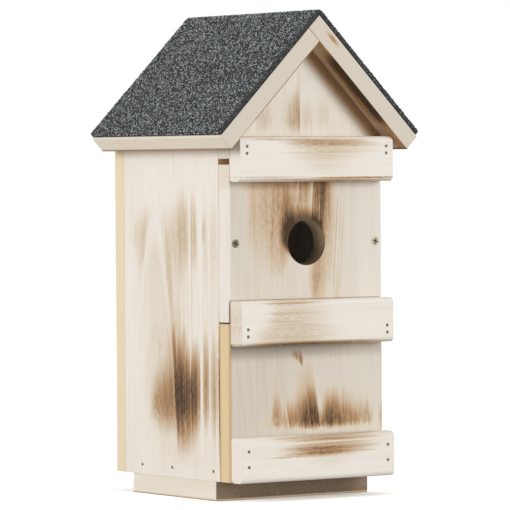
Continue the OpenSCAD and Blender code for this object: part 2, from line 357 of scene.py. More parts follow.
def zone(direction, none, full, most=1.0):
    """A mask that grows from nothing to its most between two places along a direction, in millimetres."""

    def mask(finish):
        return finish.fade(finish.measure(direction), none, full, 0.0, most)

    return mask


def wood(
    name, settings, grain, burns=(), veins=(), faces=(), soot_and_shade=None, lining=None,
    rings=0.12, warmth=0.15, dusky_tone_and_shade=0.0,
):
    """Spruce: rings about the trunk's pith, fibres along the grain, torch burns, and faces of other colours.

    Soot and painted shade lie on the surface evenly, while a burn follows the streaks of the wood. A lining
    covers them both, and may be painted shade too.
    """
    finish = Finish(name)
    across = finish.measure(grain.across)
    along = finish.measure(grain.along)
    inwards = finish.measure(grain.inwards, grain.face)
    level = along - grain.level
    straight = across - level * grain.lean if grain.lean else across

    def stretched(width, length, detail=2, roughness=0.5):
        """A noise from -0.5 to 0.5, drawn out along the grain."""
        place = finish.join(across / width, along / length, inwards / width)
        return finish.noise(place, detail=detail, roughness=roughness) - 0.5

    wander = stretched(*PATCH)
    streak = stretched(*STREAK, 3, 0.6)
    fibre = stretched(settings.fibre_width / MM, FIBRE_LENGTH)
    dash = stretched(*DASH, 2, 0.6)

    offset = straight - grain.pith
    depth = grain.depth + level * grain.dip - inwards
    radius = (offset * offset + depth * depth) ** 0.5 + wander * 3
    phase = finish.math("FRACT", radius / (settings.ring_width / MM) + streak * 0.5)
    late = finish.fade(phase, LATE_START, LATE_FULL) * finish.fade(phase, 1.0, LATE_END)

    # The wood's own colour: how much of its second tone the rings, streaks, patches and fibres bring
    tint = late * rings + streak * 0.9 + wander * 0.8 + fibre * 0.5 + warmth
    tones = (settings.pale, settings.warm)
    # Painted shade: the lower panel and the door turn darker towards the left, where less light falls
    if dusky_tone_and_shade:
        tint = tint + finish.fade(across, 30, -66) * dusky_tone_and_shade
        tones = (settings.mellow, settings.dusky_tone_and_shade)
    colour = finish.mix(finish.math("MAXIMUM", tint, 0.0), *tones)
    for mask, face in faces:
        colour = finish.mix(mask(finish), colour, finish.mix(abs(streak + fibre), face, settings.tan))

    # Where a burn reads its place: swaying across the grain, ragged at its top and less so at its bottom
    sway = across + wander * 2 + dash * 1.5
    above = along + dash * 16 + streak * 30
    below = along + dash * 3 + streak * 2
    split = (straight if grain.straight else radius) - grain.split
    heat = None
    for burn in burns:
        amount = blot(finish, sway, above, below, burn)
        if burn.side:
            amount = amount * finish.fade(split * burn.side, -0.5, 0.5)
        heat = amount if heat is None else heat + amount
    if heat is not None:
        texture = dash * 1.2 + streak + fibre * 0.7 + late * 0.2 + 1
        heat = heat / (heat * HOLD_BACK + LONE_BURN) * texture
    if soot_and_shade:
        dark = soot_and_shade(finish, across, along, inwards) * (dash * 0.4 + fibre * 0.3 + 1)
        heat = dark if heat is None else heat + dark
    if heat is not None:
        for vein in veins:
            near = finish.fade(abs(straight - vein.at), vein.width, vein.width * 0.3)
            near *= finish.fade(along, vein.low - VEIN_END, vein.low + VEIN_END)
            near *= finish.fade(along, vein.high + VEIN_END, vein.high - VEIN_END)
            heat = heat + near * vein.tone if vein.tone > 0 else heat * (1 + near * vein.tone)
        scorch = (settings.warm, settings.tan, settings.brown, settings.umber, settings.char)
        stops = [(step / 4, tone) for step, tone in enumerate(scorch)]
        colour = finish.mix(finish.fade(heat, 0.0, 0.25), colour, finish.ramp(heat, stops))
    if lining:
        colour = finish.mix(*lining(finish, colour, along, inwards))
    relief = finish.bump(fibre * 0.6 + dash * 0.3 + late * 0.35, settings.fibre_relief)
    return finish.surface(colour, WOOD_ROUGHNESS, relief, **{"Specular IOR Level": WOOD_GLOSS})


# Two faces this close in direction are one flat face, and an edge this blunt is shaded smooth
FLAT, SMOOTH = math.radians(0.5), math.radians(40)
# A real corner between two faces is at least so sharp, in radians, and both of its faces so broad
ARRIS_ANGLE = 0.8
ARRIS_FACE = 18 * MM * MM
# The steps of its easing, and its shape between a flat chamfer at 0.25 and a square corner at 1
ARRIS_STEPS, ARRIS_FULLNESS = 2, 0.6
# A gap so small that it only keeps two faces apart, or joins two corners
HAIR = 0.01 * MM


def board(piece_name, node_name, material):
    """A merged copy of a packed board with its long edges eased, which then stands for it."""
    node = frame["nodes"][node_name]
    piece = bpy.data.objects.new(piece_name, node.data.copy())
    bpy.context.collection.objects.link(piece)
    pick(piece)
    bpy.ops.object.mode_set(mode="EDIT")
    bpy.ops.mesh.select_all(action="SELECT")
    bpy.ops.mesh.remove_doubles(threshold=HAIR)
    bpy.ops.mesh.dissolve_limited(angle_limit=FLAT)
    select_edges(piece, is_arris)
    eased = bpy.context.scene.nest_box_wood.edge_round
    bpy.ops.mesh.bevel(offset=eased, segments=ARRIS_STEPS, profile=ARRIS_FULLNESS, affect="EDGES")
    bpy.ops.object.mode_set(mode="OBJECT")
    keep_inside(piece, node_name)
    bpy.ops.object.shade_smooth_by_angle(angle=SMOOTH)
    finish_modifier(piece, "WEIGHTED_NORMAL", keep_sharp=True)
    wear(piece, material)
    settle(piece, node_name)


def keep_inside(piece, node_name):
    """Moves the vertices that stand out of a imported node's box onto its sides."""
    low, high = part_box(node_name)
    for vertex in piece.data.vertices:
        vertex.co = [min(max(place, least), most) for place, least, most in zip(vertex.co, low, high)]


def is_arris(edge):
    """Whether an edge is a real corner between two broad faces, and not the rim of a nail hole."""
    faces = edge.link_faces
    if len(faces) != 2:
        return False
    return edge.calc_face_angle() > ARRIS_ANGLE and min(f.calc_area() for f in faces) > ARRIS_FACE


def select_edges(piece, wanted):
    """Selects the edges that a test picks, in edit mode."""
    bpy.ops.mesh.select_mode(type="EDGE")
    bpy.ops.mesh.select_all(action="DESELECT")
    mesh = bmesh.from_edit_mesh(piece.data)
    for edge in mesh.edges:
        edge.select_set(wanted(edge))
    bmesh.update_edit_mesh(piece.data)


def pick(piece):
    """Makes one piece the only selected and the active one."""
    bpy.ops.object.select_all(action="DESELECT")
    piece.select_set(True)
    bpy.context.view_layer.objects.active = piece


def finish_modifier(piece, kind, **settings):
    """Adds a modifier and applies it."""
    pick(piece)
    modifier = piece.modifiers.new(kind.title(), kind)
    for name, value in settings.items():
        setattr(modifier, name, value)
    bpy.ops.object.modifier_apply(modifier=modifier.name)


def wear(piece, material):
    """Gives a piece one material."""
    piece.data.materials.clear()
    piece.data.materials.append(material)


def settle(piece, node_name):
    """The piece rides on its node's body and stands for the node."""
    body = frame["nodes"][node_name]["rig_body"]
    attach(piece, body)
    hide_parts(node_name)


def side_edges(finish):
    """The left and right edges of the front panels, the door and the back panel."""
    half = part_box("front_door")[1].x / MM
    return finish.fade(abs(finish.measure(RIGHT)), half - 0.8, half - 0.3)


class NESTBOX_OT_side_walls(bpy.types.Operator):
    """Adds the two side walls, pale spruce with torch burns along the grain"""

    bl_idname = "nestbox.side_walls"
    bl_label = "Side Walls"

    def execute(self, context):
        settings = context.scene.nest_box_wood
        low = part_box("left_side_wall")[0] / MM
        faces = [(zone(BACK, low.y + 0.4, low.y + 0.1), settings.amber)]

        # A pale tongue with its tip at a height of 200 mm stands in the burns on the left wall
        grain = Grain(FRONT, UP, RIGHT, low.x, -31.2, 30.5, 199.5, 0.11, 0, 30.5, False)
        burns = [
            Burn(5, 70, 27, 49, 42, 0.62, 1), Burn(4, 74, 20, 39, 38, 0.62, 1),
            Burn(-3, 104, 8, 40, 30, 0.1, 1), Burn(-8, 106, 4.5, 20, 16, 0.42, 1),
            Burn(7, 54, 4, 8, 12, -0.3), Burn(7, 114, 3.5, 14, 14, 0.14), Burn(22, 77, 9, 38, 32, 0.66),
            Burn(-17, 67, 23, 30, 24, 0.32), Burn(-16, 66, 38, 36, 28, 0.1),
            Burn(-26, 67, 10, 22, 16, 0.14), Burn(-8, 78, 14, 46, 32, 0.22), Burn(-6, 84, 44, 60, 48, 0.1),
            Burn(34.3, 75, 5.8, 50, 30, 0.54), Burn(44.5, 78, 7.2, 45, 40, 0.36),
            Burn(51.3, 74, 2.0, 68, 60, 0.95), Burn(2, 140, 22, 60, 50, 0.04, 1),
            Burn(4, 188, 16, 40, 40, 0.15, 1), Burn(6, 194, 9, 30, 30, 0.08),
            Burn(-14, 186, 15, 34, 60, 0.05, 1), Burn(-13, 150, 7, 60, 70, 0.1, 1),
            Burn(19.8, 188, 5.4, 42, 36, 0.2), Burn(-47, 178, 11, 32, 32, 0.13, 1),
            Burn(-42, 196, 12, 16, 18, 0.07, 1), Burn(-57, 188, 9, 20, 22, 0.08, 1),
            Burn(31.5, 192, 3.5, 12, 14, 0.12), Burn(-30, 200, 44, 30, 44, 0.04, 1),
            Burn(-25, 130, 46, 90, 90, 0.1), Burn(34, 190, 6, 44, 50, 0.08), Burn(45, 190, 8, 44, 50, 0.1),
            Burn(40, 130, 26, 84, 80, 0.08), Burn(10, 34, 80, 40, 30, 0.1),
            Burn(12, 190, 40, 56, 70, 0.05, 1), Burn(-32, 176, 18, 30, 60, 0.05, -1),
        ]
        veins = [
            Vein(14.6, 1.5, -0.5, 88, 226), Vein(16.9, 0.9, 0.1, 44, 216), Vein(28.6, 2.4, -0.85, 30, 230),
            Vein(39.2, 1.2, -0.6, 30, 230), Vein(11.0, 0.7, 0.06, 170, 215), Vein(-3, 0.7, -0.2, 50, 120),
            Vein(8, 0.7, -0.25, 50, 125), Vein(24.5, 0.6, -0.25, 50, 110), Vein(1.5, 0.5, 0.1, 60, 200),
        ]
        left_wood = wood("LeftWallWood", settings, grain, burns, veins, faces, rings=0.1, warmth=0.08)
        board("left_wall_board", "left_side_wall", left_wood)

        grain = Grain(BACK, UP, LEFT, low.x, 22, 26, 160, -0.09, 0, 26, False)
        burns = [
            Burn(-14, 160, 22, 60, 44, 0.75, 1), Burn(-12, 164, 14, 40, 36, 0.4, 1),
            Burn(-30, 168, 9, 44, 40, 0.4), Burn(40, 88, 18, 44, 30, 0.5), Burn(46, 84, 9, 30, 24, 0.3),
            Burn(30, 130, 44, 80, 80, 0.1), Burn(-41, 120, 5, 60, 50, 0.34),
            Burn(-48, 130, 4, 56, 50, 0.22), Burn(56, 200, 7, 44, 44, 0.2), Burn(0, 250, 90, 4, 3, 0.26),
        ]
        veins = [Vein(-24, 1.4, -0.7), Vein(-35, 2.2, -0.8), Vein(44, 1.0, -0.5), Vein(-8, 0.8, -0.2)]
        right_wood = wood("RightWallWood", settings, grain, burns, veins, faces, rings=0.1, warmth=0.08)
        board("right_wall_board", "right_side_wall", right_wood)
        return {"FINISHED"}


class NESTBOX_OT_back_panel(bpy.types.Operator):
    """Adds the back panel, raw spruce with sawn yellow edges"""

    bl_idname = "nestbox.back_panel"
    bl_label = "Back Panel"

    def execute(self, context):
        settings = context.scene.nest_box_wood
        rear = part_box("back_panel")[1].y / MM
        grain = Grain(RIGHT, UP, FRONT, -rear, -18, 60, 164, 0.05)
        burns = [Burn(8, 96, 34, 60, 40, 0.26), Burn(2, 84, 16, 34, 22, 0.2), Burn(40, 226, 14, 52, 52, 0.2)]
        faces = [(side_edges, settings.sawn)]
        back_wood = wood("BackPanelWood", settings, grain, burns, faces=faces, rings=0.3, warmth=0.3)
        board("back_panel_board", "back_panel", back_wood)
        return {"FINISHED"}


class NESTBOX_OT_base(bpy.types.Operator):
    """Adds the floor board and the base plate under it"""

    bl_idname = "nestbox.base"
    bl_label = "Floor and Base"

    def execute(self, context):
        settings = context.scene.nest_box_wood
        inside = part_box("floor_board")[1].z / MM
        floor = Grain(RIGHT, BACK, DOWN, -inside, 10, 45, 0, 0.03)
        floor_wood = wood("FloorWood", settings, floor, rings=0.3, warmth=0.3)
        board("floor_board_dressed", "floor_board", floor_wood)

        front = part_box("base_plate")[0].y / MM
        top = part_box("base_plate")[1].z / MM
        plate_front = zone(BACK, front + 1.0, front + 0.7)

        def plate_foot(finish):
            """The lower part of the base plate's front end, except near its corners."""
            middle = finish.fade(abs(finish.measure(RIGHT)), 62, 40, 0.3, 1.0)
            return plate_front(finish) * finish.fade(finish.measure(UP), top - 2, 0) * middle

        def painted_contact_shade(finish, across, along, inwards):
            """Painted shade: a dark line along the base plate's lower edge, standing for its contact shadow.
            """
            return finish.fade(inwards, 1.8, 0.4) * 0.4

        plate = Grain(RIGHT, BACK, UP, 0, -24, 38, 0, 0.04)
        faces = [(plate_front, settings.shaded_end_grain), (plate_foot, settings.darker_foot)]
        plate_wood = wood("BasePlateWood", settings, plate, faces=faces, soot_and_shade=painted_contact_shade, warmth=0.35)
        board("base_plate_board", "base_plate", plate_wood)
        return {"FINISHED"}


class NESTBOX_OT_fixed_front(bpy.types.Operator):
    """Adds the lower front panel and the gable panel"""

    bl_idname = "nestbox.fixed_front"
    bl_label = "Fixed Front Panels"

    def execute(self, context):
        settings = context.scene.nest_box_wood
        low, high = (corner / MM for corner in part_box("lower_front_panel"))
        lower = Grain(RIGHT, UP, BACK, low.y, 0, 74, 85, 0, -0.146, 6.0)
        burns = [
            Burn(4, 56, 12, 26, 8, 0.6, -1), Burn(2, 54, 14, 14, 6, 0.3, -1), Burn(20, 54, 11, 18, 6, 0.27),
            Burn(-1, 56, 15, 25, 8, 0.4, -1), Burn(3, 63, 8, 56, 12, 0.11, -1),
            Burn(-4, 63, 12, 44, 14, 0.13, -1), Burn(-9, 56, 5, 18, 8, 0.16),
            Burn(-2, 84, 12, 26, 26, 0.07), Burn(19, 55, 8, 26, 7, 0.52), Burn(28, 55, 13, 25, 7, 0.33),
            Burn(41, 54, 15, 17, 6, 0.26), Burn(53, 54, 7, 14, 6, 0.28), Burn(48, 60, 26, 36, 10, 0.06),
            Burn(22, 56, 40, 28, 9, 0.14), Burn(-26, 55, 6.5, 21, 7, 0.43), Burn(-27, 63, 6, 50, 14, 0.18),
            Burn(-36, 55, 10, 12, 7, 0.14), Burn(-16, 55, 8, 21, 7, 0.5), Burn(12, 54, 6, 9, 5, 0.36),
            Burn(34, 55, 22, 10, 6, 0.16), Burn(66, 55, 5, 20, 12, 0.32), Burn(6, 66, 62, 50, 24, 0.08),
            Burn(-10.5, 103.5, 4, 5, 5, 0.7), Burn(-6.5, 100.5, 4, 4.5, 5, 0.62),
            Burn(-5, 97, 2.2, 3, 3.5, 0.5),
        ]
        veins = [Vein(8.2, 1.5, -0.6, 64, 84), Vein(-22, 1.4, -0.5, 40, 90), Vein(-2.5, 0.7, -0.3, 50, 80)]

        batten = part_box("middle_batten")[0].z / MM
        left = low.x
        thick = high.y - low.y

        def batten_shade_and_rims(finish, colour, along, inwards):
            """Painted shade close under the middle batten, and dark rims on the raw left edge."""
            across = finish.measure(RIGHT)
            rims = finish.fade(inwards, 4.5, 1.0) * 0.45
            rims += finish.fade(inwards, thick - 2.4, thick - 0.4) * 0.6
            colour = finish.mix(rims * finish.fade(across, left + 1.0, left + 0.3), colour, settings.brown)
            # Painted shade under the middle batten, stronger towards the left
            painted_batten_shade = finish.fade(along, batten - 12.5, batten - 4.5) * finish.fade(inwards, 1.5, 0.5)
            return painted_batten_shade * finish.fade(across, 60, -10, 0.36, 0.62), colour, settings.painted_batten_shade

        faces = [(side_edges, settings.raw)]
        lower_wood = wood(
            "LowerPanelWood", settings, lower, burns, veins, faces, lining=batten_shade_and_rims, warmth=0.05, dusky_tone_and_shade=0.5
        )
        board("lower_panel_board", "lower_front_panel", lower_wood)

        gable = Grain(RIGHT, UP, BACK, low.y, 0, 52, 275, 0, 0, -5.2)
        inner_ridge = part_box("gable_panel")[1].z / MM

        def gable_painted_shade(finish, across, along, inwards):
            """Painted shade on the gable beside the right roof board, brownish."""
            room = finish.measure((-1, 0, -1)) + inner_ridge * SLOPE
            return finish.fade(room, 15, 0) * 0.62

        burns = [
            Burn(-10, 270, 8, 26, 14, 0.2, -1), Burn(-10, 270, 16, 24, 14, 0.13, -1),
            Burn(-6.6, 276, 3, 36, 18, 0.16, -1), Burn(1, 270, 8, 18, 12, 0.13),
            Burn(15, 272, 9, 18, 14, 0.11), Burn(-37, 270, 12, 16, 14, 0.17),
            Burn(-4, 270, 50, 28, 18, 0.05),
        ]
        veins = [Vein(-5.4, 0.6, 0.1, 262, 306), Vein(-12, 0.6, -0.3, 250, 290)]
        gable_wood = wood("GableWood", settings, gable, burns, veins, soot_and_shade=gable_painted_shade, rings=0.1, warmth=0.32)
        board("gable_board", "gable_panel", gable_wood)
        return {"FINISHED"}


class NESTBOX_OT_door(bpy.types.Operator):
    """Adds the sliding front, with the burnt rim of its entrance hole"""

    bl_idname = "nestbox.door"
    bl_label = "Sliding Front"

    def execute(self, context):
        settings = context.scene.nest_box_wood
        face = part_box("front_door")[0].y / MM
        hole = next(mount for mount in frame["record"]["mounts"] if mount["name"] == "entrance_hole")
        radius = hole["dims"]["r_mm"]
        middle = hole["pos_m"][2] / MM
        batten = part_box("top_batten")[0].z / MM
        grain = Grain(RIGHT, UP, BACK, face, 0, 60, middle, 0, 0.069, 3.5)
        burns = [
            Burn(-38, 210, 20, 60, 64, 0.2), Burn(-46, 204, 8, 60, 54, 0.09),
            Burn(-31, 208, 17, 60, 60, 0.08), Burn(-26, 206, 12, 60, 54, 0.16),
            Burn(-17, 208, 10, 50, 44, 0.4), Burn(-15.5, 197, 7, 28, 24, 0.3),
            Burn(-19, 186, 6, 30, 16, 0.16), Burn(-5, 226, 8, 36, 34, 0.44), Burn(2, 226, 6, 36, 34, 0.34),
            Burn(12, 218, 11, 44, 40, 0.62, 1), Burn(16, 204, 15, 60, 54, 0.32, 1),
            Burn(9, 152, 9, 34, 22, 0.28, 1), Burn(6, 158, 5, 26, 26, 0.08, 1),
            Burn(17, 160, 10, 40, 30, 0.14), Burn(31, 184, 5, 44, 34, 0.1),
            Burn(27.5, 150, 5, 26, 40, 0.13), Burn(-24, 166, 9, 26, 16, 0.1),
            Burn(-20, 174, 7, 18, 22, 0.12), Burn(-14, 196, 48, 50, 74, 0.07),
        ]
        veins = [
            Vein(-9.7, 1.6, -0.5, 212, 232), Vein(2.2, 1.2, -0.4, 208, 232), Vein(25.6, 0.6, 0.2, 146, 215),
            Vein(31.5, 0.5, 0.12, 150, 232), Vein(38.3, 0.5, 0.1), Vein(44.6, 0.5, 0.08),
            Vein(28.6, 0.5, 0.1), Vein(35, 0.5, 0.07), Vein(52, 0.5, 0.05), Vein(-38, 0.5, 0.05),
            Vein(10, 0.7, -0.25, 196, 232),
        ]

        def rim(finish, across, along, inwards):
            """Smoke round the entrance hole, widest above it, and painted shade under the top batten."""
            rise = along - middle
            distance = (across * across + rise * rise) ** 0.5
            upwards = (rise * 0.9 - across * 0.45) / distance
            reach = finish.math("MAXIMUM", upwards, 0.0) * 14 + (radius + 3)
            smoke = finish.fade(distance, reach, radius - 1) * finish.fade(upwards, -1.0, 0.7, 0.1, 1.0)
            # Painted shade under the top batten, stronger towards the left
            under = finish.fade(along, batten - 7.5, batten - 3) * finish.fade(across, 24, -30, 0.4, 1.0)
            return smoke ** 1.6 * 0.8 + under * 0.11

        def hole_wall(finish, colour, along, inwards):
            """The wall of the entrance hole: aged wood, darkest at the bottom and at the front rim."""
            rise = along - middle
            across = finish.measure(RIGHT)
            inside = finish.fade((across * across + rise * rise) ** 0.5, radius + 0.4, radius + 0.1)
            dark = finish.fade(rise, 6, -12, 0.0, 0.65) + finish.fade(inwards, 1.6, 0.2) * 0.5
            return inside, colour, finish.mix(dark, settings.aged, settings.char)

        # Painted light: the door turns paler towards its right edge, where more light falls
        faces = [(zone(RIGHT, 40, 50, 0.5), settings.pale), (side_edges, settings.pale)]
        door_wood = wood(
            "DoorWood", settings, grain, burns, veins, faces, rim, hole_wall, warmth=0.0, dusky_tone_and_shade=0.28
        )
        board("door_board", "front_door", door_wood)
        return {"FINISHED"}


class NESTBOX_OT_battens(bpy.types.Operator):
    """Adds the three battens, with their grain running across the box"""

    bl_idname = "nestbox.battens"
    bl_label = "Battens"

    def execute(self, context):
        settings = context.scene.nest_box_wood
        # Heights are counted from the surface that the box stands on
        burns = {
            "top_batten": [
                Burn(252.4, 4, 3.0, 56, 44, 0.34), Burn(249, 16, 9, 56, 56, 0.16),
                Burn(238, 20, 14, 50, 50, 0.04), Burn(254.8, -8, 1.0, 76, 76, 0.3),
                Burn(242, -10, 15, 34, 24, 0.07), Burn(236, 12, 15, 28, 26, 0.07),
                Burn(227.9, 36, 0.9, 54, 50, 0.75), Burn(226.2, 34, 1.0, 54, 54, 0.45),
                Burn(226.6, -20, 1.3, 66, 66, 0.24), Burn(228.6, -44, 0.9, 54, 54, 0.2),
                Burn(256.8, 0, 1.3, 90, 90, 0.16),
            ],
            "middle_batten": [
                Burn(133, -32, 13, 54, 16, 0.17), Burn(116, -38, 15, 64, 26, 0.19),
                Burn(122, -6, 24, 50, 46, 0.08), Burn(126, -67, 15, 5, 5, 0.07),
                Burn(110.8, -6, 2.3, 88, 78, 0.85), Burn(139.8, -24, 1.0, 44, 40, 0.32),
                Burn(141.5, 0, 1.3, 90, 90, 0.1),
            ],
            "bottom_batten": [
                Burn(36.4, 2, 7, 56, 44, 0.52), Burn(35.4, 6, 3.8, 32, 30, 0.34),
                Burn(44, 10, 3.6, 66, 66, 0.32), Burn(40, 30, 6, 40, 60, 0.12), Burn(28, 8, 9, 40, 34, 0.1),
                Burn(31.4, -30, 0.9, 34, 22, 0.28),
            ],
        }
        veins = {
            "top_batten": [
                Vein(250.2, 0.5, 0.1, -20, 60), Vein(253.6, 0.4, 0.12, -30, 40), Vein(246, 0.4, 0.06),
            ],
            "middle_batten": [
                Vein(116, 0.5, 0.05, -60, 30), Vein(133, 0.5, 0.05, -50, 10), Vein(126, 0.5, -0.3),
            ],
            "bottom_batten": [
                Vein(33.0, 0.6, 0.14, -30, 50), Vein(41, 0.9, -0.6), Vein(45.2, 0.4, 0.16, -40, 50),
                Vein(42.6, 0.4, 0.12, -20, 50), Vein(38.4, 0.5, -0.35), Vein(35, 0.4, -0.3),
            ],
        }
        depths = {"top_batten": 34, "middle_batten": 48, "bottom_batten": 40}
        rear = (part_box("top_batten")[1].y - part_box("top_batten")[0].y) / MM
        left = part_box("middle_batten")[0].x / MM

        def rear_arris(finish, across, along, inwards):
            """Scorch along the battens' rear edges, which shows at their ends."""
            return finish.fade(inwards, rear - 1.6, rear - 0.3) * 0.45

        def browned_end(finish, across, along, inwards):
            """The rear scorch and a light browning over the middle batten's left end."""
            browning = finish.fade(along, left + 1.5, left + 0.2) * 0.11
            return rear_arris(finish, across, along, inwards) + browning

        soots = {"top_batten": rear_arris, "middle_batten": browned_end, "bottom_batten": rear_arris}
        for name, marks in burns.items():
            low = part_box(name)[0] / MM
            grain = Grain(UP, RIGHT, BACK, low.y, low.z, depths[name], 0, 0.03, 0.012)
            title = name.title().replace("_", "") + "Wood"
            batten_wood = wood(title, settings, grain, marks, veins[name], soot_and_shade=soots[name], warmth=0.05)
            board(name + "_dressed", name, batten_wood)
        return {"FINISHED"}


class NESTBOX_OT_roof_boards(bpy.types.Operator):
    """Adds the two roof boards, pale outside and scorched under the front overhang"""

    bl_idname = "nestbox.roof_boards"
    bl_label = "Roof Boards"

    def execute(self, context):
        settings = context.scene.nest_box_wood
        low, high = (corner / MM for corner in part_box("right_roof_board"))
        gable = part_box("gable_panel")[0].y / MM
        ridge = high.z * SLOPE
        thickness = (high.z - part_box("left_roof_board")[1].z / MM) * 2 * SLOPE
        eave = low.z + thickness * SLOPE - high.x
        front_end = zone(BACK, low.y + 0.5, low.y + 0.1)

        def lower_end(finish):
            """The boards' lower ends."""
            drop = finish.measure(UP) - abs(finish.measure(RIGHT))
            return finish.fade(drop, eave + 1.4, eave + 0.8)

        for side, name in ((-1, "left"), (1, "right")):
            down = (side * SLOPE, 0, -SLOPE)
            inwards = (-side * SLOPE, 0, -SLOPE)
            grain = Grain(down, BACK, inwards, -ridge, 50 - ridge, 34, 0, 0.02)
            underside = zone(inwards, thickness - ridge - 0.8, thickness - ridge - 0.3)

            def soffit(finish, across, along, inwards, side=side):
                """Scorch under the front overhang, palest near the ridge, and along the lower arris."""
                slope = across + ridge
                patches = finish.noise(finish.join(slope / 42, along / 4, 0.0), detail=2) - 0.5
                band = along + patches * 9
                front = finish.fade(band, gable - 2, low.y + 3, 0.2, 0.9)
                front *= finish.fade(along, gable + 4, gable + 1)
                middle = finish.fade(slope, 18, 38, 0.3, 1.0) * finish.fade(slope, 100, 84, 0.4, 1.0)
                arris = finish.fade(finish.measure(UP), low.z + 1.8, low.z + 0.5)
                under = finish.fade(inwards, thickness - 0.8, thickness - 0.3)
                scorch = under * (front * middle + 0.17) + arris * 0.5
                if side < 0:
                    return scorch
                brown_spot = Burn(20, 3.6, 12, 3, 3, 0.5)
                return scorch + blot(finish, slope, inwards, inwards, brown_spot)

            faces = [(underside, settings.raw), (lower_end, settings.fresh), (front_end, settings.end)]
            title = name.title() + "RoofBoardWood"
            roof_wood = wood(title, settings, grain, faces=faces, soot_and_shade=soffit, rings=0.1)
            board(name + "_roof_board_dressed", name + "_roof_board", roof_wood)
        return {"FINISHED"}


# The felt's bend over the ridge has so many steps
FELT_BEND_STEPS = 10


def felt_shell(name, settings):
    """The felt's surface on top of the sheet: one slope, a bend over the ridge, and the other slope."""
    low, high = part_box("roof_felt")
    ridge = Vector((0, 0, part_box("right_roof_board")[1].z))
    out = Vector((SLOPE, 0, SLOPE))
    down = Vector((SLOPE, 0, -SLOPE))
    length = (ridge.z - low.z) / SLOPE - settings.eave_gap
    depth = high.y - low.y - 2 * settings.rim
    middle = ridge + out * settings.sheet + down * length / 2
    bpy.ops.object.select_all(action="DESELECT")
    bpy.ops.mesh.primitive_plane_add(size=1, location=middle, rotation=(0, math.radians(45), 0))
    shell = bpy.context.object
    shell.name = name
    shell.scale = (length, depth, 1)
    bpy.ops.object.transform_apply(location=True, rotation=True, scale=True)
    bpy.ops.object.mode_set(mode="EDIT")
    top = ridge.z + settings.sheet * SLOPE - HAIR

    def is_upper(edge):
        """Whether an edge is the slope's upper one."""
        return all(corner.co.z > top for corner in edge.verts)

    select_edges(shell, is_upper)
    bpy.ops.mesh.spin(steps=FELT_BEND_STEPS, angle=math.pi / 2, center=ridge, axis=BACK)
    bpy.ops.mesh.extrude_region_move(TRANSFORM_OT_translate={"value": -out * length})
    bpy.ops.object.mode_set(mode="OBJECT")
    return shell


class NESTBOX_OT_felt(bpy.types.Operator):
    """Adds the bitumen sheet over the roof and its crushed slate"""

    bl_idname = "nestbox.felt"
    bl_label = "Slated Felt"

    def execute(self, context):
        settings = context.scene.nest_box_felt
        sheet = felt_shell("felt_sheet", settings)
        finish_modifier(sheet, "SOLIDIFY", thickness=settings.sheet - 2 * HAIR, offset=-1)
        wear(sheet, bitumen(settings))
        settle(sheet, "roof_felt")
        slate = slate_grain(settings)
        for side, name in ((-1, "left"), (1, "right")):
            grains = felt_shell(name + "_slate", settings)
            covered = settings.sheet - settings.bare_edge
            finish_modifier(grains, "SOLIDIFY", thickness=covered, offset=-1, use_rim_only=True)
            pick(grains)
            bpy.ops.object.mode_set(mode="EDIT")
            bpy.ops.mesh.select_all(action="SELECT")
            halves = {"clear_inner": side > 0, "clear_outer": side < 0}
            bpy.ops.mesh.bisect(plane_co=(0, 0, 0), plane_no=RIGHT, **halves)
            bpy.ops.object.mode_set(mode="OBJECT")
            scatter(grains, settings, settings.seed + side, slate)
            keep_inside(grains, "roof_felt")
            settle(grains, "roof_felt")
        return {"FINISHED"}


# Points tried per square metre, of which those too close to another one are dropped
SLATE_TRIES = 4e6
# A chip of slate is a low four-sided cone: its top and its foot and height, as shares of the grain's size
CHIP_SIDES, CHIP_TOP, CHIP_FOOT = 4, 0.2, 0.5
# How far a chip tips over, and how far it turns, in radians
CHIP_TIP, CHIP_TURN = 0.5, 6.28
# The least and the most that a chip is stretched
CHIP_LEAST, CHIP_MOST = (0.55, 0.55, 0.5), (1.1, 1.0, 0.95)


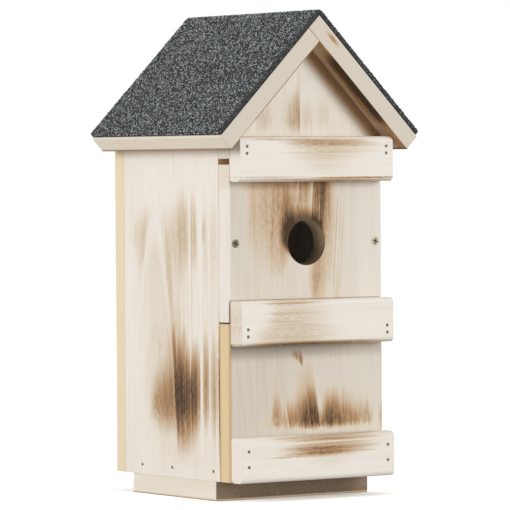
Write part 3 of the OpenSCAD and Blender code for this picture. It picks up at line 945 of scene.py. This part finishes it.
def scatter(piece, settings, seed, material):
    """Turns a surface into crushed slate lying on it."""
    group = bpy.data.node_groups.new("Slate", "GeometryNodeTree")
    group.interface.new_socket("Surface", in_out="INPUT", socket_type="NodeSocketGeometry")
    group.interface.new_socket("Slate", in_out="OUTPUT", socket_type="NodeSocketGeometry")
    bench = Bench(group)
    surface = bench.node("NodeGroupInput")
    spread = {"Mesh": surface, "Distance Min": settings.spacing, "Density Max": SLATE_TRIES, "Seed": seed}
    points = bench.node("GeometryNodeDistributePointsOnFaces", {"distribute_method": "POISSON"}, spread)

    def draw(low, high, step, kind="FLOAT"):
        """A random number or vector for each grain."""
        names = {"FLOAT": ("Min_001", "Max_001", "Value_001"), "FLOAT_VECTOR": ("Min", "Max", "Value")}[kind]
        feeds = {names[0]: low, names[1]: high, "Seed": seed * 10 + step}
        return bench.node("FunctionNodeRandomValue", {"data_type": kind}, feeds, out=names[2])

    foot = settings.grain * CHIP_FOOT
    form = {"Vertices": CHIP_SIDES, "Side Segments": 1, "Fill Segments": 1}
    form |= {"Radius Top": settings.grain * CHIP_TOP, "Radius Bottom": foot, "Depth": foot}
    chip = bench.node("GeometryNodeMeshCone", feeds=form)
    turn = draw((-CHIP_TIP, -CHIP_TIP, 0), (CHIP_TIP, CHIP_TIP, CHIP_TURN), 1, "FLOAT_VECTOR")
    stretch = draw(CHIP_LEAST, CHIP_MOST, 2, "FLOAT_VECTOR")
    lay = Wire(bench, points.socket.node.outputs["Rotation"])
    angle = bench.node(
        "FunctionNodeRotateRotation", {"rotation_space": "LOCAL"},
        {"Rotation": lay, "Rotate By": bench.node("FunctionNodeEulerToRotation", feeds={"Euler": turn})},
    )
    chips = {"Points": points, "Instance": chip, "Rotation": angle, "Scale": stretch}
    placed = bench.node("GeometryNodeInstanceOnPoints", feeds=chips)
    toned = bench.node(
        "GeometryNodeStoreNamedAttribute", {"data_type": "FLOAT", "domain": "INSTANCE"},
        {"Geometry": placed, "Name": "tone", "Value": draw(0.0, 1.0, 3)},
    )
    real = bench.node("GeometryNodeRealizeInstances", feeds={"Geometry": toned})
    covered = bench.node("GeometryNodeSetMaterial", feeds={"Geometry": real, "Material": material})
    bench.node("NodeGroupOutput", feeds={0: covered})
    finish_modifier(piece, "NODES", node_group=group)


# How fine the sheet's specks and clumps and the mottling and pits of the slate are: patches per metre
SPECKS, CLUMPS, MOTTLING, PITS = 900.0, 420.0, 1100.0, 1500.0


def bitumen(settings):
    """Bitumen, black along the boards and grey with slate dust above."""
    finish = Finish("Bitumen")
    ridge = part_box("right_roof_board")[1].z / MM * SLOPE
    height = finish.math("MAXIMUM", finish.measure((1, 0, 1), ridge), finish.measure((-1, 0, 1), ridge))
    speck = finish.noise(finish.place, SPECKS, 3.0, 0.7)
    clump = finish.noise(finish.place, CLUMPS, 2.0, 0.6)
    dusty = finish.fade(height + (clump - 0.5) * 2.4, 0.9, 1.7)
    grey = finish.mix(finish.fade(speck, 0.5, 0.75), settings.dust, settings.slate)
    colour = finish.mix(dusty * finish.fade(clump, 0.35, 0.55, 0.3, 1.0), settings.bitumen, grey)
    return finish.surface(colour, 0.85, finish.bump(speck, 0.3 * MM))


def slate_grain(settings):
    """Broken slate, each grain in its own tone."""
    finish = Finish("SlateGrain")
    tone = finish.node("ShaderNodeAttribute", {"attribute_name": "tone"}, out="Fac")
    tone += (finish.noise(finish.place, MOTTLING, 1.0) - 0.5) * 2.2
    stops = [(0.0, settings.shade), (0.22, settings.shade), (0.6, settings.slate), (1.0, settings.light)]
    # The grains on the sheet's cut edges at the front and the rear are darker
    end = -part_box("roof_felt")[0].y / MM
    tone *= finish.fade(abs(finish.measure(BACK)), end - 0.3, end - 1.6, 0.62, 1.0)
    rough = finish.noise(finish.place, PITS, 2.0)
    return finish.surface(finish.ramp(tone, stops), rough * 0.3 + 0.5, finish.bump(rough, 0.05 * MM))


class NESTBOX_OT_screws(bpy.types.Operator):
    """Adds the door's two countersunk screws with their cross recess and thread"""

    bl_idname = "nestbox.screws"
    bl_label = "Door Screws"

    def execute(self, context):
        settings = context.scene.nest_box_fixings
        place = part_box("left_door_screw")[0].y / MM
        left = plated("BronzedSteel", settings.bronze, 0.42, place)
        right = plated("BrassedSteel", settings.brass, 0.35, place)
        screw("left_screw_dressed", "left_door_screw", left, settings)
        screw("right_screw_dressed", "right_door_screw", right, settings)
        return {"FINISHED"}


# The dull specks on the steel, and the dirt and painted shade in a screw's recess
TARNISH, DIRT_AND_SHADE = linear("2b241d"), linear("120e0b")
# The specks per metre, and how metallic the steel looks, between plastic at 0 and bare metal at 1
STAINS, METAL_SHARE = 700.0, 0.45


def plated(name, colour, roughness, face=None):
    """Plated steel, a little scratched, with dirt and painted shade in the recess of a screw whose head lies
    at a face.
    """
    finish = Finish(name)
    stain = finish.noise(finish.place, STAINS, 3.0, 0.6)
    tone = finish.mix(finish.fade(stain, 0.35, 0.75) * 0.3, colour, TARNISH)
    if face is not None:
        deep = finish.measure(BACK, face)
        dirt_and_shade = finish.fade(deep, 0.1, 0.5) * finish.fade(deep, 2.4, 1.6) * 0.95
        tone = finish.mix(dirt_and_shade, tone, DIRT_AND_SHADE)
    scratches = finish.bump(stain, 0.04 * MM)
    return finish.surface(tone, stain * 0.25 + (roughness - 0.1), scratches, Metallic=METAL_SHARE)


# How far the cross recess is turned, in radians, and how blunt an edge of a screw is shaded smooth
RECESS_TURN = 0.35
SCREW_SMOOTH = math.radians(35)
# The corners of a screw's round bars, and the steps of one turn of its thread
SCREW_SIDES, THREAD_STEPS = 32, 20
# The thread's foot as a share of the core's radius, and the heights of its foot, crest and end in one turn
THREAD_FOOT = 0.9
THREAD_LOW, THREAD_CREST, THREAD_HIGH = 0.1, 0.4, 0.7


def screw(piece_name, node_name, material, settings):
    """A countersunk screw along +Y: a head with a cross recess, and a threaded shank with a point."""
    low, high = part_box(node_name)
    middle = (low + high) / 2
    head = (high.x - low.x) / 2
    start = Vector((middle.x, low.y, middle.z))
    depth = head - settings.shank
    tip = 2 * settings.shank
    shank = high.y - tip - low.y
    inner = start + Vector((0, depth / 2, 0))
    body = cone(piece_name, start, depth, head, settings.shank)
    rod = cone("rod", inner, shank - depth / 2, settings.core, settings.core)
    point = cone("point", Vector((middle.x, high.y - tip, middle.z)), tip, settings.core, 0)
    for turn in (0, math.pi / 2):
        bpy.ops.object.select_all(action="DESELECT")
        bpy.ops.mesh.primitive_cube_add(size=1, location=start, rotation=(0, turn + RECESS_TURN, 0))
        cutter = bpy.context.object
        cutter.scale = (settings.recess, 2 * settings.depth, settings.slot)
        bpy.ops.object.transform_apply(location=True, rotation=True, scale=True)
        finish_modifier(body, "BOOLEAN", object=cutter, operation="DIFFERENCE", solver="EXACT")
        bpy.data.objects.remove(cutter)
    thread = thread_ridge(start + Vector((0, depth, 0)), shank - depth, settings)
    bpy.ops.object.select_all(action="DESELECT")
    for piece in (rod, point, thread, body):
        piece.select_set(True)
    bpy.context.view_layer.objects.active = body
    bpy.ops.object.join()
    bpy.ops.object.shade_smooth_by_angle(angle=SCREW_SMOOTH)
    wear(body, material)
    settle(body, node_name)


def cone(name, start, length, first, last):
    """A round bar along +Y whose radius goes from the first to the last."""
    bpy.ops.object.select_all(action="DESELECT")
    bpy.ops.mesh.primitive_cone_add(
        vertices=SCREW_SIDES, radius1=first, radius2=last, depth=length, rotation=(-math.pi / 2, 0, 0),
        location=start + Vector((0, length / 2, 0)),
    )
    bar = bpy.context.object
    bar.name = name
    bpy.ops.object.transform_apply(location=True, rotation=True, scale=True)
    return bar


def thread_ridge(start, length, settings):
    """The thread: a closed three-sided ridge wound round the core of a screw."""
    bpy.ops.object.select_all(action="DESELECT")
    bpy.ops.mesh.primitive_circle_add(vertices=3, radius=1)
    ridge = bpy.context.object
    foot = settings.core * THREAD_FOOT
    outline = ((foot, THREAD_LOW), (settings.shank, THREAD_CREST), (foot, THREAD_HIGH))
    for vertex, (reach, rise) in zip(ridge.data.vertices, outline, strict=True):
        vertex.co = (reach, rise * settings.pitch, 0)
    turns = int(length / settings.pitch - THREAD_HIGH)
    finish_modifier(
        ridge, "SCREW", axis="Y", screw_offset=settings.pitch, iterations=turns, steps=THREAD_STEPS,
        render_steps=THREAD_STEPS, use_normal_calculate=True,
    )
    pick(ridge)
    bpy.ops.object.mode_set(mode="EDIT")
    bpy.ops.mesh.select_all(action="SELECT")
    bpy.ops.mesh.remove_doubles(threshold=HAIR / 10)
    bpy.ops.mesh.fill_holes(sides=0)
    bpy.ops.mesh.select_all(action="SELECT")
    bpy.ops.mesh.normals_make_consistent(inside=False)
    bpy.ops.transform.translate(value=start)
    bpy.ops.object.mode_set(mode="OBJECT")
    return ridge


class NESTBOX_OT_nails(bpy.types.Operator):
    """Gives the nails their dull steel"""

    bl_idname = "nestbox.nails"
    bl_label = "Nails"

    def execute(self, context):
        steel = plated("NailSteel", context.scene.nest_box_fixings.steel, 0.5)
        for name in ("batten_nails", "floor_nails", "back_nails", "roof_nails", "base_nails"):
            wear(frame["nodes"][name], steel)
        return {"FINISHED"}


# The floor's width and the lamps' distance, in metres
FLOOR_SIZE, LAMP_DISTANCE = 12, 3
# The sensor's width in millimetres, and how far the camera sees in metres
SENSOR, FAR_END = 36, 50
# The floor's brightness as the camera sees it
FLOOR_WHITE = (1.9, 1.9, 1.9)
# Directions towards the lamps, at the front right and on the left, and their apparent widths in degrees
FRONT_LAMP, FRONT_LAMP_WIDTH = (0.5, -0.84, 0.19), 30
SIDE_LAMP, SIDE_LAMP_WIDTH = (-0.97, 0.05, 0.22), 44


class NESTBOX_OT_stage(bpy.types.Operator):
    """Adds the floor, the studio lamps, the sky and the camera"""

    bl_idname = "nestbox.stage"
    bl_label = "Studio"

    def execute(self, context):
        settings = context.scene.nest_box_stage
        bpy.ops.object.select_all(action="DESELECT")
        bpy.ops.mesh.primitive_plane_add(size=FLOOR_SIZE, location=(0, 0, cad_low.z))
        ground = context.object
        ground.name = "studio_floor"
        wear(ground, floor_white(settings.floor))

        lamp("front_lamp", settings.front, FRONT_LAMP_WIDTH, FRONT_LAMP)
        lamp("side_lamp", settings.side, SIDE_LAMP_WIDTH, SIDE_LAMP)
        sky(context.scene, settings.sky)

        turn = Matrix.Rotation(-settings.yaw, 4, "Z")
        tilt = Matrix.Rotation(math.pi / 2 + settings.pitch, 4, "X")
        roll = Matrix.Rotation(settings.roll, 4, "Z")
        bpy.ops.object.camera_add(location=settings.place, rotation=(turn @ tilt @ roll).to_euler())
        camera = context.object
        camera.data.lens = settings.lens
        camera.data.sensor_width = SENSOR
        camera.data.clip_end = FAR_END
        context.scene.camera = camera
        context.scene.view_settings.view_transform = "Standard"
        return {"FINISHED"}


def lamp(name, share, spread, towards):
    """A far soft lamp: its share of full daylight, its apparent width in degrees, and its direction."""
    aim = Vector(towards).to_track_quat("Z", "Y").to_euler()
    bpy.ops.object.light_add(type="SUN", location=Vector(towards) * LAMP_DISTANCE, rotation=aim)
    light = bpy.context.object
    light.name = name
    light.data.energy = share * math.pi
    light.data.angle = math.radians(spread)


def floor_white(colour):
    """A grey floor that the camera sees as bright white, with the box's closest shadow on it."""
    finish = Finish("FloorWhite")
    path = finish.node("ShaderNodeLightPath")
    glossy = Wire(finish, path.socket.node.outputs["Is Glossy Ray"])
    seen = finish.math("MAXIMUM", path, glossy)
    matt = finish.node("ShaderNodeBsdfDiffuse", feeds={"Color": finish.mix(seen, colour, FLOOR_WHITE)})
    finish.node("ShaderNodeOutputMaterial", feeds={"Surface": matt})
    return finish.material


def sky(scene, strength):
    """Even light all round, which is white where the camera or a reflection sees it."""
    world = bpy.data.worlds.new("StudioSky")
    world.use_nodes = True
    scene.world = world
    bench = Bench(world.node_tree)
    path = bench.node("ShaderNodeLightPath")
    rays = path.socket.node.outputs
    seen = bench.math("MAXIMUM", path, Wire(bench, rays["Is Glossy Ray"]))
    seen = bench.math("MAXIMUM", seen, Wire(bench, rays["Is Transmission Ray"]))
    level = seen * (1 - strength) + strength
    background = bench.node("ShaderNodeBackground", feeds={"Color": (1, 1, 1, 1), "Strength": level})
    bench.node("ShaderNodeOutputWorld", feeds={"Surface": background})


OPERATORS = (
    NESTBOX_OT_side_walls,
    NESTBOX_OT_back_panel,
    NESTBOX_OT_base,
    NESTBOX_OT_fixed_front,
    NESTBOX_OT_door,
    NESTBOX_OT_battens,
    NESTBOX_OT_roof_boards,
    NESTBOX_OT_felt,
    NESTBOX_OT_screws,
    NESTBOX_OT_nails,
    NESTBOX_OT_stage,
)
GROUPS = {
    "nest_box_wood": NestBoxWood,
    "nest_box_felt": NestBoxFelt,
    "nest_box_fixings": NestBoxFixings,
    "nest_box_stage": NestBoxStage,
}


class NESTBOX_PT_panel(bpy.types.Panel):
    """The nest box's settings and steps"""

    bl_label = "Nest Box"
    bl_idname = "NESTBOX_PT_panel"
    bl_space_type = "VIEW_3D"
    bl_region_type = "UI"
    bl_category = "Nest Box"

    def draw(self, context):
        for name, group in GROUPS.items():
            box = self.layout.box()
            for setting in group.__annotations__:
                box.prop(getattr(context.scene, name), setting)
        for operator in OPERATORS:
            self.layout.operator(operator.bl_idname)


def register():
    for kind in (*GROUPS.values(), *OPERATORS, NESTBOX_PT_panel):
        bpy.utils.register_class(kind)
    for name, group in GROUPS.items():
        setattr(bpy.types.Scene, name, bpy.props.PointerProperty(type=group))


def unregister():
    for name in GROUPS:
        delattr(bpy.types.Scene, name)
    for kind in (NESTBOX_PT_panel, *reversed(OPERATORS), *GROUPS.values()):
        bpy.utils.unregister_class(kind)


def main():
    register()
    for operator in OPERATORS:
        family, name = operator.bl_idname.split(".")
        getattr(getattr(bpy.ops, family), name)()


if __name__ == "__main__":
    main()
